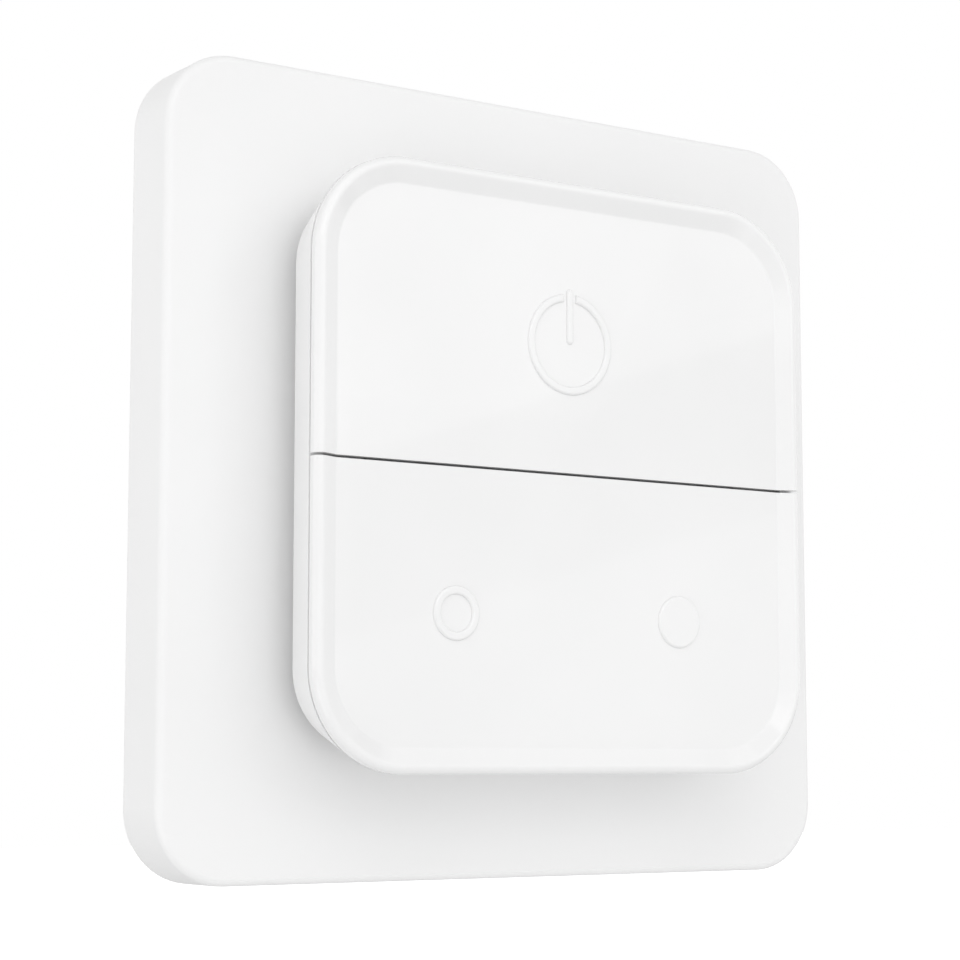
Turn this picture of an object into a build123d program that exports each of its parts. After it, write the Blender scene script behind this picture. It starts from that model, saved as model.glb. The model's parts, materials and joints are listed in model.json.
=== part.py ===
from build123d import *
import math
import os

# Wireless remote wall switch. Millimetres, +Z up, the wall is the plane Y = 0 and the
# front faces -Y. "out" is the distance from the wall towards the room, so out = -Y.

# Cover frame, the square plate seen around the switch
frame_side = 86.0
frame_corner = 7.8
frame_out = 7.6
frame_wall = 2.0
frame_edge_round = 0.8
frame_window_gap = 0.4
collar_wall = 1.4
collar_clear = 0.2
snap_length = 14.0
snap_reach = 0.5
snap_root = 0.2
snap_thick = 0.6
snap_clear = 0.05
peg_radius = 1.5
peg_near = 20.0

# Mounting base that is glued or screwed to the wall inside the frame
base_thick = 2.0
base_clear = 0.2
tray_rise = 3.1
tray_gap = 0.5
tray_wall = 1.6
tray_floor = 1.8
screw_spacing = 40.0
screw_hole_radius = 2.2
screw_sink_radius = 4.2
screw_boss_wall = 1.0
pad_thick = 0.9
pad_length = 64.0
pad_edge_gap = 1.8
pad_tray_gap = 1.1
keeper_radius = 5.4
keeper_thick = 0.8
keeper_clear = 0.1
rib_thick = 1.2
rib_pitch = 14.0
ejector_radius = 1.6
ejector_depth = 0.15
ejector_height = 14.0

# Switch module: a square cup in the frame's window and a flared skirt around it
module_side = 63.5
module_corner = 10.7
plug_side = 52.0
plug_corner = 8.0
housing_wall = 1.6
plug_back_round = 0.5
skirt_height = 7.65
skirt_draft = 19.0
skirt_back_round = 0.3
skirt_rim = 1.45
skirt_lip_thick = 0.8
skirt_fit = 0.05
shelf_thick = 1.5

# Keys: one dished blank cut in two, with a sloped inner rim around a flat face
seam_gap = 0.25
seam_drop = 0.5
key_room = 0.9
key_wall = 1.35
key_step_gap = 0.55
rim_run = 2.7
rim_slope = 25.5
crest_round = 0.75
dish_round = 0.4
split_gap = 0.28
split_height = 0.05

# Raised symbols on the keys
relief = 0.28
relief_round = 0.25
power_height = 14.15
power_radius = 5.5
power_stroke = 0.87
power_opening = 1.6
power_bar_width = 0.8
power_bar_low = 0.0
power_bar_high = 6.0
dim_offset = 14.6
dim_drop = 15.26
dim_radius = 2.84
dim_stroke = 0.9

# Key pivots: steel pins in the key frame, ears on the keys
pin_radius = 0.6
pin_fit = 0.05
pin_rise = 0.5
pin_end_gap = 0.5
ear_width = 1.8
ear_radius = 1.3
ear_slot_gap = 0.4
ear_slot_over = 0.05
ear_margin = 3.4
power_axis_inset = 2.4
power_ear_offset = 9.0
power_block_half = 14.5
dim_block_top = 7.5
block_skin = 0.5

# Snap domes and the nubs that press them
dome_radius = 2.5
dome_height = 0.35
dome_thick = 0.1
dome_foot_width = 0.4
dome_inset = 0.4
nub_radius = 1.4
nub_hole_gap = 0.6
nub_gap = 0.02
power_dome_height = 5.0
dim_dome_drop = 15.0

# Circuit board, key frame and the four screws that hold them
board_thick = 1.0
board_clear = 0.6
parts_room = 2.0
carrier_clear = 0.3
carrier_plate_thick = 1.15
carrier_wall = 1.2
screw_inset = 2.8
screw_z = 7.0
boss_radius = 2.2
boss_pilot_radius = 1.0
boss_floor = 0.8
screw_tip_gap = 0.4
pass_clear = 0.2
pillar_wall = 0.2
head_radius = 1.9
head_thick = 1.05
head_clear = 0.2
drive_radius = 0.7
drive_depth = 0.5

# Magnets
magnet_radius = 4.0
magnet_thick = 2.0
magnet_skin = 0.8
magnet_fit = 0.1
magnet_cup_wall = 0.9
magnet_inset = 0.9

# Battery door, twist lock with two lugs
door_gap = 0.3
door_recess = 0.15
door_thick = 1.5
door_ring_gap = 0.8
door_ring_wall = 2.2
door_edge = 0.3
lug_reach = 1.4
lug_thick = 1.0
lug_span = 22.0
lug_clear = 0.12
notch_play = 5.0
notch_clear = 0.3
notch_turn = -35.0
coin_slot_length = 14.0
coin_slot_width = 1.8
coin_slot_depth = 0.8

# Coin cell, 20 mm across and 3.2 mm thick
cell_radius = 10.0
cell_height = 3.2
cell_gap = 0.25
can_wall = 0.25
can_depth = 2.7
cap_round = 0.5
gasket_wall = 0.75
gasket_rise = 0.15

# Cell holder and its spring contacts
holder_clear = 0.25
holder_wall = 1.15
holder_depth = 3.4
holder_lip_reach = 1.8
holder_lip_clear = 0.05
holder_base_thick = 0.6
holder_notch = 5.2
notch_inset = 0.5
contact_room = 0.9
contact_gap = 0.02
strip_thick = 0.2
strip_bend = 0.2
strip_turn = 0.32
plus_width = 4.0
plus_foot = 2.6
plus_wall_gap = 0.3
plus_drop = 2.7
plus_touch_height = 2.1
plus_touch_length = 0.4
plus_tip_rise = 0.6
plus_tip_lift = 0.48
minus_width = 3.0
minus_foot = 4.0
minus_reach = 3.6
minus_touch_length = 0.8
minus_tip_run = 0.8
minus_tip_lift = 0.23

# Parts on the board, each as X size, Z size and height
can_centre = (-10.5, -1.5)
can_size = (13.0, 11.0, 1.5)
can_sheet = 0.2
chip_shift = -2.0
chip_size = (6.0, 6.0, 0.85)
crystal_shift = 4.1
crystal_size = (2.5, 2.0, 0.6)
antenna_centre = (14.0, 13.5)
antenna_size = (7.0, 2.0, 1.2)
regulator_centre = (11.0, -8.0)
regulator_size = (3.0, 3.0, 0.9)
capacitor_size = (1.6, 0.8, 0.8)
capacitor_first = (6.0, -2.5)
capacitor_step_x = 3.5
capacitor_step_z = 4.0
capacitor_columns = 3
capacitor_rows = 2

# Pairing button on the back and its switch on the board
pair_inset = 3.9
pair_body = 4.6
pair_body_height = 1.6
pair_body_floor = 0.1
pair_plunger_radius = 0.9
pair_plunger_show = 0.8
pair_plunger_inside = 1.2
pair_fit = 0.05
pair_cap_radius = 1.6
pair_cap_fit = 0.08
pair_cap_recess = 0.35
pair_flange_reach = 1.0
pair_flange_gap = 0.1
pair_flange_thick = 0.8
pair_stem_radius = 1.2
pair_stem_gap = 0.03

# Engraved marks: arrows that point up, the cell's polarity and the door's two stops
mark_depth = 0.3
arrow_height = 4.6
arrow_width = 3.8
arrow_stem = 1.3
polarity_size = 4.0
polarity_stroke = 0.9
polarity_height = 7.5
index_radius = 0.7
index_line = 0.3
index_turn = 60.0
index_inset = 1.7
index_gap = 1.6

# How far joined bodies run into each other, and how far cutters run past a surface
join_overlap = 0.1
cut_over = 1.0

# Distances from the wall, built up from the wall to the keys
base_front_out = pad_thick + base_thick
plug_back_out = base_front_out + tray_rise
inner_back_out = plug_back_out + housing_wall
door_face_out = plug_back_out + door_recess
door_inner_out = door_face_out + door_thick
cell_out = door_inner_out + cell_gap
cell_top_out = cell_out + cell_height
board_out = cell_top_out + contact_room
board_front_out = board_out + board_thick
carrier_plate_out = board_front_out + parts_room
carrier_front_out = carrier_plate_out + carrier_plate_thick
key_inner_out = carrier_front_out + key_room
key_face_out = key_inner_out + key_wall
key_back_out = key_face_out - seam_drop
apex_out = key_face_out + rim_run * math.tan(math.radians(rim_slope))
skirt_front_out = key_back_out - seam_gap
skirt_back_out = skirt_front_out - skirt_height
shelf_out = skirt_front_out - skirt_rim
shelf_back_out = shelf_out - shelf_thick
lip_out = shelf_out - skirt_lip_thick
frame_skin_out = frame_out - frame_wall
pin_out = carrier_plate_out + pin_rise
block_back_out = pin_out - pin_radius - block_skin
block_front_out = pin_out + pin_radius + block_skin
nub_from = board_front_out + dome_height + nub_gap

# Half widths and positions across the wall
frame_half = frame_side / 2
frame_inner_half = frame_half - frame_wall
frame_inner_corner = frame_corner - frame_wall
base_half = frame_inner_half - base_clear
module_half = module_side / 2
plug_half = plug_side / 2
window_half = plug_half + frame_window_gap
window_corner = plug_corner + frame_window_gap
collar_half = window_half + collar_wall
peg_far = (collar_half + frame_inner_half) / 2
tray_half = window_half - tray_gap
tray_corner = window_corner - tray_gap
inner_half = plug_half - housing_wall
inner_corner = plug_corner - housing_wall
carrier_half = inner_half - carrier_clear
carrier_inner_half = carrier_half - carrier_wall
magnet_cup_radius = magnet_radius + magnet_fit + magnet_cup_wall
magnet_offset = inner_half - magnet_cup_radius - magnet_inset
screw_x = inner_half - screw_inset
pair_drop = inner_half - pair_inset
pass_radius = boss_pilot_radius + pass_clear
block_half = ear_radius + ear_slot_gap
power_axis_height = carrier_inner_half - power_axis_inset
dim_dome_offset = carrier_inner_half - dome_radius - dome_inset
dim_ear_drops = (dim_block_top + ear_margin, carrier_inner_half - ear_margin)
holder_inner = cell_radius + holder_clear
holder_outer = holder_inner + holder_wall
cap_radius = cell_radius - can_wall - gasket_wall
door_ring_inner = holder_outer + door_ring_gap
door_ring_outer = door_ring_inner + door_ring_wall
door_radius = door_ring_outer + door_edge
door_opening_radius = door_radius + door_gap
lug_radius = door_opening_radius + lug_reach
stop_radius = door_opening_radius + index_gap
flange_middle = (tray_half + base_half) / 2


def at_out(out):
    """Plane parallel to the wall, local X to the right and local Y up."""
    return Plane(origin=(0, -out, 0), x_dir=(1, 0, 0), z_dir=(0, -1, 0))


def prism(shape, out_from, out_to, x=0.0, z=0.0):
    """A flat shape drawn at one distance from the wall and carried to another."""
    return extrude(at_out(out_from) * Pos(x, z) * shape, out_to - out_from)


def slab(half, corner, out_from, out_to):
    """Square plate with rounded corners, centred on the switch."""
    return prism(RectangleRounded(2 * half, 2 * half, corner), out_from, out_to)


def disc(radius, out_from, out_to, x=0.0, z=0.0):
    return prism(Circle(radius), out_from, out_to, x, z)


def tube(outer, inner, out_from, out_to, x=0.0, z=0.0):
    return prism(Circle(outer) - Circle(inner), out_from, out_to, x, z)


def block(width, height, out_from, out_to, x=0.0, z=0.0):
    return prism(Rectangle(width, height), out_from, out_to, x, z)


def corners(x, z):
    """The four points at plus and minus x, z."""
    return [(side * x, end * z) for side in (-1, 1) for end in (-1, 1)]


def edges_at_out(part, out):
    """Edges that lie wholly in one plane parallel to the wall."""
    near = 0.001
    return part.edges().filter_by_position(Axis.Y, -out - near, -out + near)


def sector(radius, middle, span):
    """Wedge of a circle about the middle angle, in degrees from +X towards +Z."""
    reach = radius / math.cos(math.radians(span / 2))
    low = math.radians(middle - span / 2)
    high = math.radians(middle + span / 2)
    first = (reach * math.cos(low), reach * math.sin(low))
    last = (reach * math.cos(high), reach * math.sin(high))
    return Circle(radius) & Polygon((0, 0), first, last, align=None)


def at_turn(radius, turn):
    """Point on a circle, in degrees from +X towards +Z."""
    angle = math.radians(turn)
    return radius * math.cos(angle), radius * math.sin(angle)


def up_arrow():
    """Arrow about its own middle, pointing up."""
    half = arrow_height / 2
    head = Polygon((-arrow_width / 2, 0), (arrow_width / 2, 0), (0, half), align=None)
    return head + Pos(0, -half / 2) * Rectangle(arrow_stem, half)


def strip(points, width):
    """Bent spring strip: a path in X and out, given a sheet thickness and a width."""
    half = strip_thick / 2
    left = []
    right = []
    for index, (x, out) in enumerate(points):
        before = points[max(index - 1, 0)]
        after = points[min(index + 1, len(points) - 1)]
        run = (after[0] - before[0], after[1] - before[1])
        length = math.hypot(*run)
        side = (-run[1] / length * half, run[0] / length * half)
        left.append((x + side[0], -(out + side[1])))
        right.append((x - side[0], -(out - side[1])))
    outline = Polygon(*(left + right[::-1]), align=None)
    return extrude(Plane.XY.offset(-width / 2) * outline, width)


def make_cover_frame():
    shell = slab(frame_half, frame_corner, 0, frame_out)
    shell = fillet(edges_at_out(shell, frame_out), frame_edge_round)
    shell -= slab(frame_inner_half, frame_inner_corner, 0, frame_skin_out)
    collar_from = base_front_out + collar_clear
    shell += slab(collar_half, window_corner + collar_wall, collar_from, frame_skin_out)
    shell -= slab(window_half, window_corner, 0, frame_out)
    for x, z in corners(peg_near, peg_far) + corners(peg_far, peg_near):
        shell += disc(peg_radius, base_front_out, frame_skin_out, x, z)
    snap_to = pad_thick - snap_clear
    snap_from = snap_to - snap_thick
    snap_width = snap_reach + snap_root
    snap_centre = frame_inner_half + (snap_root - snap_reach) / 2
    for side in (-1, 1):
        shell += block(snap_width, snap_length, snap_from, snap_to, side * snap_centre)
        shell += block(snap_length, snap_width, snap_from, snap_to, 0, side * snap_centre)
    return shell


def make_mounting_base():
    base = slab(base_half, frame_inner_corner - base_clear, pad_thick, base_front_out)
    base += slab(tray_half, tray_corner, pad_thick, plug_back_out)
    base -= slab(tray_half - tray_wall, tray_corner - tray_wall, 0, plug_back_out - tray_floor)
    tray_outline = slab(tray_half, tray_corner, 0, plug_back_out)
    sink_depth = screw_sink_radius - screw_hole_radius
    for side in (-1, 0, 1):
        upright = block(rib_thick, 2 * tray_half, pad_thick, plug_back_out, side * screw_spacing / 2)
        level = block(2 * tray_half, rib_thick, pad_thick, plug_back_out, 0, side * rib_pitch)
        base += (upright + level) & tray_outline
    for side in (-1, 1):
        x = side * screw_spacing / 2
        base += disc(screw_sink_radius + screw_boss_wall, 0, plug_back_out, x) & tray_outline
    for side in (-1, 1):
        x = side * screw_spacing / 2
        base -= disc(screw_hole_radius, 0, plug_back_out, x)
        sink_plane = Plane(origin=(x, sink_depth - plug_back_out, 0), z_dir=(0, -1, 0))
        base -= Solid.make_cone(screw_hole_radius, screw_sink_radius, sink_depth, sink_plane)
    pocket_from = plug_back_out - keeper_thick
    for x, z in corners(magnet_offset, magnet_offset):
        base -= disc(keeper_radius + keeper_clear, pocket_from, plug_back_out, x, z)
    for x, z in corners(flange_middle, ejector_height):
        base -= disc(ejector_radius, pad_thick, pad_thick + ejector_depth, x, z)
    base -= prism(up_arrow(), plug_back_out - mark_depth, plug_back_out, 0, pair_drop)
    return base


def make_adhesive_pads():
    """Two foam strips between the tray and the upper and lower edges of the base."""
    inner = tray_half + pad_tray_gap
    outer = base_half - pad_edge_gap
    middle = (inner + outer) / 2
    width = outer - inner
    return Compound(children=[block(pad_length, width, 0, pad_thick, 0, side * middle) for side in (-1, 1)])


def make_keeper_discs():
    back = plug_back_out - keeper_thick
    spots = corners(magnet_offset, magnet_offset)
    return Compound(children=[disc(keeper_radius, back, plug_back_out, x, z) for x, z in spots])


def make_rear_housing():
    """The module's cup: battery opening, magnet cups and screw bosses in its floor."""
    shell = slab(plug_half, plug_corner, plug_back_out, lip_out)
    shell = fillet(edges_at_out(shell, plug_back_out), plug_back_round)
    shell -= slab(inner_half, inner_corner, inner_back_out, lip_out)
    opening = Circle(door_opening_radius)
    for turn in (notch_turn, notch_turn + 180):
        opening += sector(lug_radius + notch_clear, turn, lug_span + notch_play)
    shell -= prism(opening, plug_back_out, inner_back_out)
    shell -= disc(pair_cap_radius + pair_cap_fit, plug_back_out, inner_back_out, 0, -pair_drop)
    stops = Pos(*at_turn(stop_radius, index_turn)) * Circle(index_radius)
    open_stop = Circle(index_radius) - Circle(index_radius - index_line)
    stops += Pos(*at_turn(stop_radius, index_turn + notch_turn)) * open_stop
    stops += Pos(0, pair_drop) * up_arrow()
    shell -= prism(stops, plug_back_out, plug_back_out + mark_depth)
    pocket_from = plug_back_out + magnet_skin
    pocket_to = pocket_from + magnet_thick
    for x, z in corners(magnet_offset, magnet_offset):
        shell += disc(magnet_cup_radius, inner_back_out, pocket_to, x, z)
        shell -= disc(magnet_radius + magnet_fit, pocket_from, pocket_to, x, z)
    for x, z in corners(screw_x, screw_z):
        shell += disc(boss_radius, inner_back_out, board_out, x, z)
        shell -= disc(boss_pilot_radius, inner_back_out + boss_floor, board_out, x, z)
    return shell


def flare(inset, out_from, out_to):
    """The skirt's drafted outline between two levels, set in by a wall."""
    ends = []
    for out in (out_from, out_to):
        shrink = inset + (skirt_front_out - out) * math.tan(math.radians(skirt_draft))
        side = module_side - 2 * shrink
        ends.append(at_out(out) * RectangleRounded(side, side, module_corner - shrink))
    return loft(ends, ruled=True)


def make_housing_skirt():
    """The flared skirt: an open shell on a shelf that seats on the cup's wall."""
    skirt = flare(0, skirt_back_out, skirt_front_out)
    skirt = fillet(edges_at_out(skirt, skirt_back_out), skirt_back_round)
    skirt -= flare(housing_wall, skirt_back_out, shelf_back_out)
    rim_half = module_half - housing_wall
    skirt -= slab(rim_half, module_corner - housing_wall, shelf_out, skirt_front_out)
    skirt -= slab(plug_half + skirt_fit, plug_corner + skirt_fit, shelf_back_out, lip_out)
    skirt -= slab(inner_half, inner_corner, lip_out, shelf_out)
    return skirt


def make_magnets():
    back = plug_back_out + magnet_skin
    spots = corners(magnet_offset, magnet_offset)
    return Compound(children=[disc(magnet_radius, back, back + magnet_thick, x, z) for x, z in spots])


def make_battery_door():
    lug_from = inner_back_out + lug_clear
    ring_to = lug_from + lug_thick
    door = disc(door_radius, door_face_out, door_inner_out)
    door += tube(door_ring_outer, door_ring_inner, door_inner_out, ring_to)
    lugs = sector(lug_radius, 0, lug_span) + sector(lug_radius, 180, lug_span)
    door += prism(lugs - Circle(door_ring_inner + join_overlap), lug_from, ring_to)
    coin_slot = SlotOverall(coin_slot_length, coin_slot_width)
    door -= prism(coin_slot, door_face_out, door_face_out + coin_slot_depth)
    marks = Rectangle(polarity_size, polarity_stroke) + Rectangle(polarity_stroke, polarity_size)
    marks = Pos(0, polarity_height) * marks
    marks += Pos(*at_turn(door_radius - index_inset, index_turn)) * Circle(index_radius)
    return door - prism(marks, door_face_out, door_face_out + mark_depth)


def make_cell_can():
    can_to = cell_out + can_depth
    can = disc(cell_radius, cell_out, can_to)
    return can - disc(cell_radius - can_wall, cell_out + can_wall, can_to)


def make_cell_gasket():
    gasket_to = cell_out + can_depth + gasket_rise
    return tube(cell_radius - can_wall, cap_radius, cell_out + can_wall, gasket_to)


def make_cell_cap():
    cap = disc(cap_radius, cell_out + can_wall, cell_top_out)
    return fillet(edges_at_out(cap, cell_top_out), cap_round)


def make_cell_holder():
    """Collar around the cell with a lip behind it and two notches for the contacts."""
    holder = tube(holder_outer, holder_inner, board_out - holder_depth, board_out)
    lip_radius = cell_radius - holder_lip_reach
    holder += tube(holder_inner + join_overlap, lip_radius, cell_top_out + holder_lip_clear, board_out)
    notch_from = holder_inner - notch_inset
    notch_run = holder_outer + cut_over - notch_from
    for side in (-1, 1):
        x = side * (notch_from + notch_run / 2)
        holder -= block(notch_run, holder_notch, board_out - holder_depth, board_out - holder_base_thick, x)
    return holder


def make_contact_plus():
    """Strip that leaves the board beside the holder and bears on the cell's side."""
    foot = board_out - strip_thick / 2
    wall = holder_outer + plus_wall_gap + strip_thick / 2
    low = foot - plus_drop
    touch = cell_radius + strip_thick / 2 + contact_gap
    touch_from = cell_out + plus_touch_height - plus_touch_length / 2
    touch_to = touch_from + plus_touch_length
    path = [(wall + plus_foot, foot), (wall + strip_bend, foot), (wall, foot - strip_bend)]
    path += [(wall, low), (wall - strip_bend, low - strip_bend), (touch, touch_from)]
    path += [(touch, touch_to), (touch + plus_tip_lift, touch_to + plus_tip_rise)]
    return strip(path, plus_width)


def make_contact_minus():
    """Folded leaf under the board that bears on the middle of the cell's cap."""
    foot = board_out - strip_thick / 2
    touch = cell_top_out + strip_thick / 2 + contact_gap
    fold = minus_reach - strip_turn
    leaf = minus_touch_length / 2
    path = [(-minus_foot, foot), (fold, foot), (minus_reach, foot - strip_turn / 2)]
    path += [(fold, foot - strip_turn), (leaf, touch), (-leaf, touch)]
    path += [(-leaf - minus_tip_run, touch + minus_tip_lift)]
    return strip(path, minus_width)


def make_circuit_board():
    board = slab(inner_half - board_clear, inner_corner - board_clear, board_out, board_front_out)
    for x, z in corners(screw_x, screw_z):
        board -= disc(pass_radius, board_out, board_front_out, x, z)
    return board


def on_board(size, centre):
    """A rectangular component standing on the front of the board."""
    return block(size[0], size[1], board_front_out, board_front_out + size[2], *centre)


def make_radio_chip():
    return on_board(chip_size, (can_centre[0] + chip_shift, can_centre[1]))


def make_shield_can():
    can = on_board(can_size, can_centre)
    inner = (can_size[0] - 2 * can_sheet, can_size[1] - 2 * can_sheet, can_size[2] - can_sheet)
    return can - on_board(inner, can_centre)


def make_crystal():
    return on_board(crystal_size, (can_centre[0] + crystal_shift, can_centre[1]))


def make_chip_antenna():
    return on_board(antenna_size, antenna_centre)


def make_voltage_regulator():
    return on_board(regulator_size, regulator_centre)


def make_capacitors():
    group = []
    for column in range(capacitor_columns):
        for row in range(capacitor_rows):
            x = capacitor_first[0] + column * capacitor_step_x
            z = capacitor_first[1] + row * capacitor_step_z
            group.append(on_board(capacitor_size, (x, z)))
    return Compound(children=group)


def make_pair_switch_body():
    back = board_out - pair_body_height
    body = block(pair_body, pair_body, back, board_out, 0, -pair_drop)
    return body - disc(pair_plunger_radius + pair_fit, back, board_out - pair_body_floor, 0, -pair_drop)


def make_pair_switch_plunger():
    back = board_out - pair_body_height
    return disc(pair_plunger_radius, back - pair_plunger_show, back + pair_plunger_inside, 0, -pair_drop)


def make_pair_button():
    """Cap flush in the case's back, a flange inside it and a stem up to the switch."""
    flange_from = inner_back_out + pair_flange_gap
    flange_to = flange_from + pair_flange_thick
    stem_to = board_out - pair_body_height - pair_plunger_show - pair_stem_gap
    button = disc(pair_cap_radius, plug_back_out + pair_cap_recess, flange_to, 0, -pair_drop)
    button += disc(pair_cap_radius + pair_flange_reach, flange_from, flange_to, 0, -pair_drop)
    button += disc(pair_stem_radius, flange_to, stem_to, 0, -pair_drop)
    return button


def dome_arc(reach, rise):
    """Circular arc from the foot of the dome up to its middle."""
    radius = (reach * reach + rise * rise) / (2 * rise)
    middle_height = math.sqrt(radius * radius - reach * reach / 4) - (radius - rise)
    return ThreePointArc((reach, 0), (reach / 2, middle_height), (0, rise))


def make_dome(x, z):
    """Snap dome: a thin shallow steel cap that rests on the board by its edge."""
    inner_rise = dome_height - dome_thick
    foot = dome_radius - dome_foot_width
    outer = dome_arc(dome_radius, dome_height)
    inner = dome_arc(foot, inner_rise)
    axis = Line((0, dome_height), (0, inner_rise))
    base = Line((foot, 0), (dome_radius, 0))
    cap = revolve(make_face([outer, axis, inner, base]), Axis.Y, 360)
    return Pos(x, -board_front_out, z) * Rot(180, 0, 0) * cap


def nub_spots():
    dims = [(side * dim_dome_offset, -dim_dome_drop) for side in (-1, 1)]
    return [(0, power_dome_height)] + dims


def bar_along_x(radius, half):
    """Round bar on the power key's axis."""
    plane = Plane(origin=(-half, -pin_out, power_axis_height), x_dir=(0, 1, 0), z_dir=(1, 0, 0))
    return extrude(plane * Circle(radius), 2 * half)


def bar_along_z(radius, end_gap):
    """Round bar on the dimmer key's axis, inside its block by a gap at each end."""
    length = carrier_inner_half - dim_block_top - 2 * end_gap
    plane = Plane(origin=(0, -pin_out, end_gap - carrier_inner_half), x_dir=(1, 0, 0), z_dir=(0, 0, 1))
    return extrude(plane * Circle(radius), length)


def make_key_frame():
    """Plate over the board on a side wall, with the pivot blocks and holes for the nubs."""
    corner = inner_corner - carrier_clear
    outline = slab(carrier_half, corner, board_front_out, carrier_front_out)
    carrier = outline - slab(carrier_inner_half, corner - carrier_wall, board_front_out, carrier_plate_out)
    recess_radius = head_radius + head_clear
    for x, z in corners(screw_x, screw_z):
        pillar = disc(recess_radius + pillar_wall, board_front_out, carrier_plate_out, x, z)
        carrier += pillar & outline
    dim_length = carrier_inner_half - dim_block_top
    dim_centre = -dim_block_top - dim_length / 2
    front = block_front_out
    carrier += block(2 * power_block_half, 2 * block_half, block_back_out, front, 0, power_axis_height)
    carrier += block(2 * block_half, dim_length, block_back_out, front, 0, dim_centre)
    slot_wide = ear_width + 2 * ear_slot_gap
    slot_tall = 2 * (block_half + ear_slot_over)
    for side in (-1, 1):
        x = side * power_ear_offset
        carrier -= block(slot_wide, slot_tall, block_back_out, front, x, power_axis_height)
    for drop in dim_ear_drops:
        carrier -= block(slot_tall, slot_wide, block_back_out, front, 0, -drop)
    carrier -= bar_along_x(pin_radius, power_block_half)
    carrier -= bar_along_z(pin_radius, 0)
    for x, z in nub_spots():
        carrier -= disc(nub_radius + nub_hole_gap, carrier_plate_out, carrier_front_out, x, z)
    for x, z in corners(screw_x, screw_z):
        carrier -= disc(pass_radius, board_front_out, carrier_plate_out, x, z)
        carrier -= disc(recess_radius, carrier_plate_out, carrier_front_out, x, z)
    return carrier


def make_frame_screws():
    screws = []
    tip = inner_back_out + boss_floor + screw_tip_gap
    head_to = carrier_plate_out + head_thick
    for x, z in corners(screw_x, screw_z):
        screw = disc(boss_pilot_radius, tip, carrier_plate_out, x, z)
        screw += disc(head_radius, carrier_plate_out, head_to, x, z)
        screw -= prism(RegularPolygon(drive_radius, 6), head_to - drive_depth, head_to, x, z)
        screws.append(screw)
    return Compound(children=screws)


def make_key_blank():
    """Both keys in one: a rounded square with a sloped rim dished down to a flat face."""
    blank = slab(module_half, module_corner, key_back_out, apex_out)
    flat_side = module_side - 2 * rim_run
    mouth = at_out(apex_out) * RectangleRounded(module_side, module_side, module_corner)
    floor = at_out(key_face_out) * RectangleRounded(flat_side, flat_side, module_corner - rim_run)
    blank -= loft([floor, mouth], ruled=True)
    blank = fillet(edges_at_out(blank, apex_out), crest_round)
    blank = fillet(edges_at_out(blank, key_face_out), dish_round)
    step_inset = housing_wall + key_step_gap
    blank += slab(module_half - step_inset, module_corner - step_inset, key_inner_out, key_back_out)
    return blank


def key_part(blank, side):
    """The part of the blank above the split (side 1) or below it (side -1)."""
    reach = module_side
    middle = split_height + side * (split_gap + reach) / 2
    keep = block(2 * reach, reach, key_inner_out - cut_over, apex_out + cut_over, 0, middle)
    return blank & keep


def power_symbol():
    """Ring with an opening at the top and a bar standing in it."""
    ring = Circle(power_radius) - Circle(power_radius - power_stroke)
    ring -= Pos(0, power_radius) * Rectangle(power_opening, 2 * power_radius)
    length = power_bar_high - power_bar_low
    bar = SlotOverall(length, power_bar_width, rotation=90)
    return ring + Pos(0, power_bar_low + length / 2) * bar


def raise_symbol(key, shape, x, z):
    top = key_face_out + relief
    raised = prism(shape, key_face_out - relief, top, x, z)
    return key + fillet(edges_at_out(raised, top), relief_round)


def make_ear(x, z, along):
    """Ear under a key: a round eye about the pivot, carried up to the key."""
    half = ear_width / 2
    if along == "x":
        stem = block(ear_width, 2 * ear_radius, pin_out, key_inner_out, x, z)
        plane = Plane(origin=(x - half, -pin_out, z), x_dir=(0, 1, 0), z_dir=(1, 0, 0))
    else:
        stem = block(2 * ear_radius, ear_width, pin_out, key_inner_out, x, z)
        plane = Plane(origin=(x, -pin_out, z - half), x_dir=(1, 0, 0), z_dir=(0, 0, 1))
    return stem + extrude(plane * Circle(ear_radius), ear_width)


def make_power_key(blank):
    key = key_part(blank, 1)
    key = raise_symbol(key, power_symbol(), 0, power_height)
    for side in (-1, 1):
        key += make_ear(side * power_ear_offset, power_axis_height, "x")
    key -= bar_along_x(pin_radius + pin_fit, power_block_half)
    key += disc(nub_radius, nub_from, key_inner_out, 0, power_dome_height)
    return key


def make_dimmer_key(blank):
    key = key_part(blank, -1)
    ring = Circle(dim_radius) - Circle(dim_radius - dim_stroke)
    key = raise_symbol(key, ring, -dim_offset, -dim_drop)
    key = raise_symbol(key, Circle(dim_radius), dim_offset, -dim_drop)
    for drop in dim_ear_drops:
        key += make_ear(0, -drop, "z")
    key -= bar_along_z(pin_radius + pin_fit, 0)
    for side in (-1, 1):
        key += disc(nub_radius, nub_from, key_inner_out, side * dim_dome_offset, -dim_dome_drop)
    return key


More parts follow.
